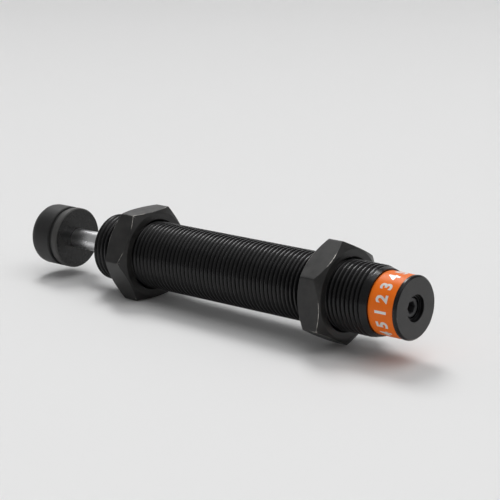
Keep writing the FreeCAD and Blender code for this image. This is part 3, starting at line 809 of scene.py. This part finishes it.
backup_plastic = finish("backup_plastic", ((0.66, 0.63, 0.55), (0.74, 0.71, 0.64)), (0.35, 0.45), 500.0)

NODE_FINISHES = {
    "fill_ball": inner_steel,
    "pressure_tube": inner_steel,
    "return_spring": spring_steel,
    "spring_seat": inner_steel,
    "piston": inner_steel,
    "check_ring": inner_steel,
    "piston_nut": inner_steel,
    "rod_bearing": inner_steel,
    "rear_bush": bush_bronze,
    "accumulator_foam": cell_foam,
    "gland": inner_steel,
    "gland_o_ring": seal_rubber,
    "rod_seal": seal_rubber,
    "seal_backup_ring": backup_plastic,
    "front_guide": inner_steel,
    "front_bush": bush_bronze,
    "rod_wiper": seal_rubber,
    "retaining_ring": inner_steel,
}
for node, material in NODE_FINISHES.items():
    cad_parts[node].data.materials.clear()
    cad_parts[node].data.materials.append(material)


# Pieces


def add_piece(mesh, body, slot, material, *stands_for):
    """Object of a finished mesh, riding on a body in place of its CAD node."""
    piece = bpy.data.objects.new(mesh.name, mesh)
    bpy.context.scene.collection.objects.link(piece)
    mesh.materials.append(material)
    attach(piece, body)
    if stands_for:
        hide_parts(*stands_for)
    return piece


def face_middles(mesh):
    """Stations and radii of the middles of a mesh's faces, in millimetres."""
    middles = np.zeros(len(mesh.polygons) * 3)
    mesh.polygons.foreach_get("center", middles)
    middles = middles.reshape(-1, 3) / MM
    return middles[:, 0], np.hypot(middles[:, 1], middles[:, 2])


def add_finish(mesh, chosen, material):
    """Gives the chosen faces a material of their own."""
    mesh.materials.append(material)
    mesh.polygons.foreach_set("material_index", chosen.astype(np.int32))


# How far the lighter finish, painted for the lit look, of the rear face reaches along the body, and that of
# the hub's rim towards the axis
FACE_REACH = 0.1
RIM_REACH = 0.35

# Turns of the nuts' corners from +Y, in degrees
FRONT_NUT_TURN = 0.0
REAR_NUT_TURN = 27.2

body_shell = add_piece(threaded_body(), "housing", "body_steel", body_oxide, "outer_body")
# The rear face gets the lighter oxide, painted light for its lit look
add_finish(body_shell.data, face_middles(body_shell.data)[0] < BODY_REAR + FACE_REACH, face_oxide_painted_light)
add_piece(band_sleeve(), "housing", "band_film", band_orange, "size_band")
add_piece(band_numbers(), "housing", "band_film", ink_silver)
add_piece(socket_screw(), "housing", "screw_steel", screw_steel, "fill_screw")
front_nut = lock_nut("front_nut_skin", "front_nut", FRONT_NUT_TURN)
add_piece(front_nut, "front_lock_nut", "nut_steel", nut_oxide, "front_nut")
rear_nut = lock_nut("rear_nut_skin", "rear_nut", REAR_NUT_TURN)
add_piece(rear_nut, "rear_lock_nut", "nut_steel", nut_oxide, "rear_nut")
add_piece(rod_skin(), "rod", "rod_chrome", rod_chrome, "piston_rod")
hub = add_piece(hub_skin(), "rod", "hub_steel", hub_oxide, "cap_hub")
# The hub's rim gets the lighter oxide, painted light for its lit band
add_finish(hub.data, face_middles(hub.data)[1] > CAP_RADIUS - RIM_REACH, rim_oxide_painted_light)
add_piece(bumper_skin(), "rod", "bumper_plastic", bumper_plastic, "bumper_cap")


# Stage, light and camera


def lay_sheet(name, corners):
    """Flat pale sheet of the stage, from its corners in metres. Returns the node tree of its material."""
    mesh = bpy.data.meshes.new(name)
    mesh.from_pydata(corners, [], [(0, 1, 2, 3)])
    sheet = bpy.data.objects.new(name, mesh)
    bpy.context.scene.collection.objects.link(sheet)
    material = bpy.data.materials.new(name)
    material.use_nodes = True
    surface = material.node_tree.nodes["Principled BSDF"]
    surface.inputs["Base Color"].default_value = (*STAGE_COLOUR, 1)
    surface.inputs["Roughness"].default_value = STAGE_ROUGHNESS
    surface.inputs["Specular IOR Level"].default_value = STAGE_GLOSS
    mesh.materials.append(material)
    return material.node_tree


def lay_floor():
    """Wide floor that touches the front nut's flat and the rear nut's corner."""
    slope = math.tan(math.radians(FLOOR_SLOPE))
    ends = np.array([[-1, -1], [1, -1], [1, 1], [-1, 1]]) * FLOOR_REACH
    height = FLOOR_HEIGHT * MM + (ends[:, 0] - FLOOR_TOUCH * MM) * slope
    lay_sheet("floor", np.column_stack([ends, height]).tolist())


def toward(bearing, rise, distance):
    """Place at a bearing, a rise and a distance from the lamps' aim."""
    bearing, rise = math.radians(bearing), math.radians(rise)
    level = math.cos(rise)
    way = Vector((level * math.cos(bearing), level * math.sin(bearing), math.sin(rise)))
    return Vector(LIGHT_AIM) + distance * way


def stand_backdrop():
    """Upright sheet far behind the body, which the oxide reflects. Its foot is below the floor, and it
    looks paler to the lens and in gloss without lighting the part."""
    middle = toward(BACKDROP_BEARING, 0, BACKDROP_DISTANCE)
    side = toward(BACKDROP_BEARING + 90, 0, BACKDROP_WIDTH / 2) - Vector(LIGHT_AIM)
    foot, top = Vector((0, 0, -BACKDROP_HEIGHT / 4)), Vector((0, 0, BACKDROP_HEIGHT))
    left, right = middle - side, middle + side
    tree = lay_sheet("backdrop", [left + foot, right + foot, right + top, left + top])
    path = place(tree, "ShaderNodeLightPath", -600, -200).outputs
    seen = worked_out(tree, "MAXIMUM", -400, -200, path["Is Camera Ray"], path["Is Glossy Ray"])
    glow = worked_out(tree, "MULTIPLY", -200, -200, seen, BACKDROP_GLOW)
    tree.links.new(glow, tree.nodes["Principled BSDF"].inputs["Emission Strength"])


def add_softbox(name, bearing, rise, distance, width, height, power):
    """Flat lamp that faces the lamps' aim."""
    lamp = bpy.data.lights.new(name, "AREA")
    lamp.shape = "RECTANGLE"
    lamp.size, lamp.size_y = width, height
    lamp.energy = power
    holder = bpy.data.objects.new(name, lamp)
    bpy.context.scene.collection.objects.link(holder)
    holder.location = toward(bearing, rise, distance)
    holder.rotation_euler = (Vector(LIGHT_AIM) - holder.location).to_track_quat("-Z", "Y").to_euler()


def set_world():
    """Even dim surroundings that fill the shadows."""
    world = bpy.data.worlds.new("studio")
    bpy.context.scene.world = world
    world.use_nodes = True
    background = world.node_tree.nodes["Background"]
    background.inputs["Color"].default_value = (1, 1, 1, 1)
    background.inputs["Strength"].default_value = SURROUND


def set_camera():
    """Camera that looks from its place to its aim and is rolled about the line between them."""
    lens = bpy.data.cameras.new("camera")
    lens.lens = CAMERA_LENS
    lens.sensor_width = CAMERA_SENSOR
    lens.clip_start = CAMERA_NEAREST
    lens.clip_end = CAMERA_FARTHEST
    camera = bpy.data.objects.new("camera", lens)
    bpy.context.scene.collection.objects.link(camera)
    camera.location = CAMERA_PLACE
    look = (Vector(CAMERA_AIM) - Vector(CAMERA_PLACE)).to_track_quat("-Z", "Y")
    camera.rotation_euler = (look @ Quaternion((0, 0, 1), math.radians(CAMERA_ROLL))).to_euler()
    bpy.context.scene.camera = camera


lay_floor()
set_world()
stand_backdrop()
for name, values in SOFTBOXES.items():
    add_softbox(name, *values)
set_camera()
bpy.context.scene.view_settings.view_transform = "Standard"
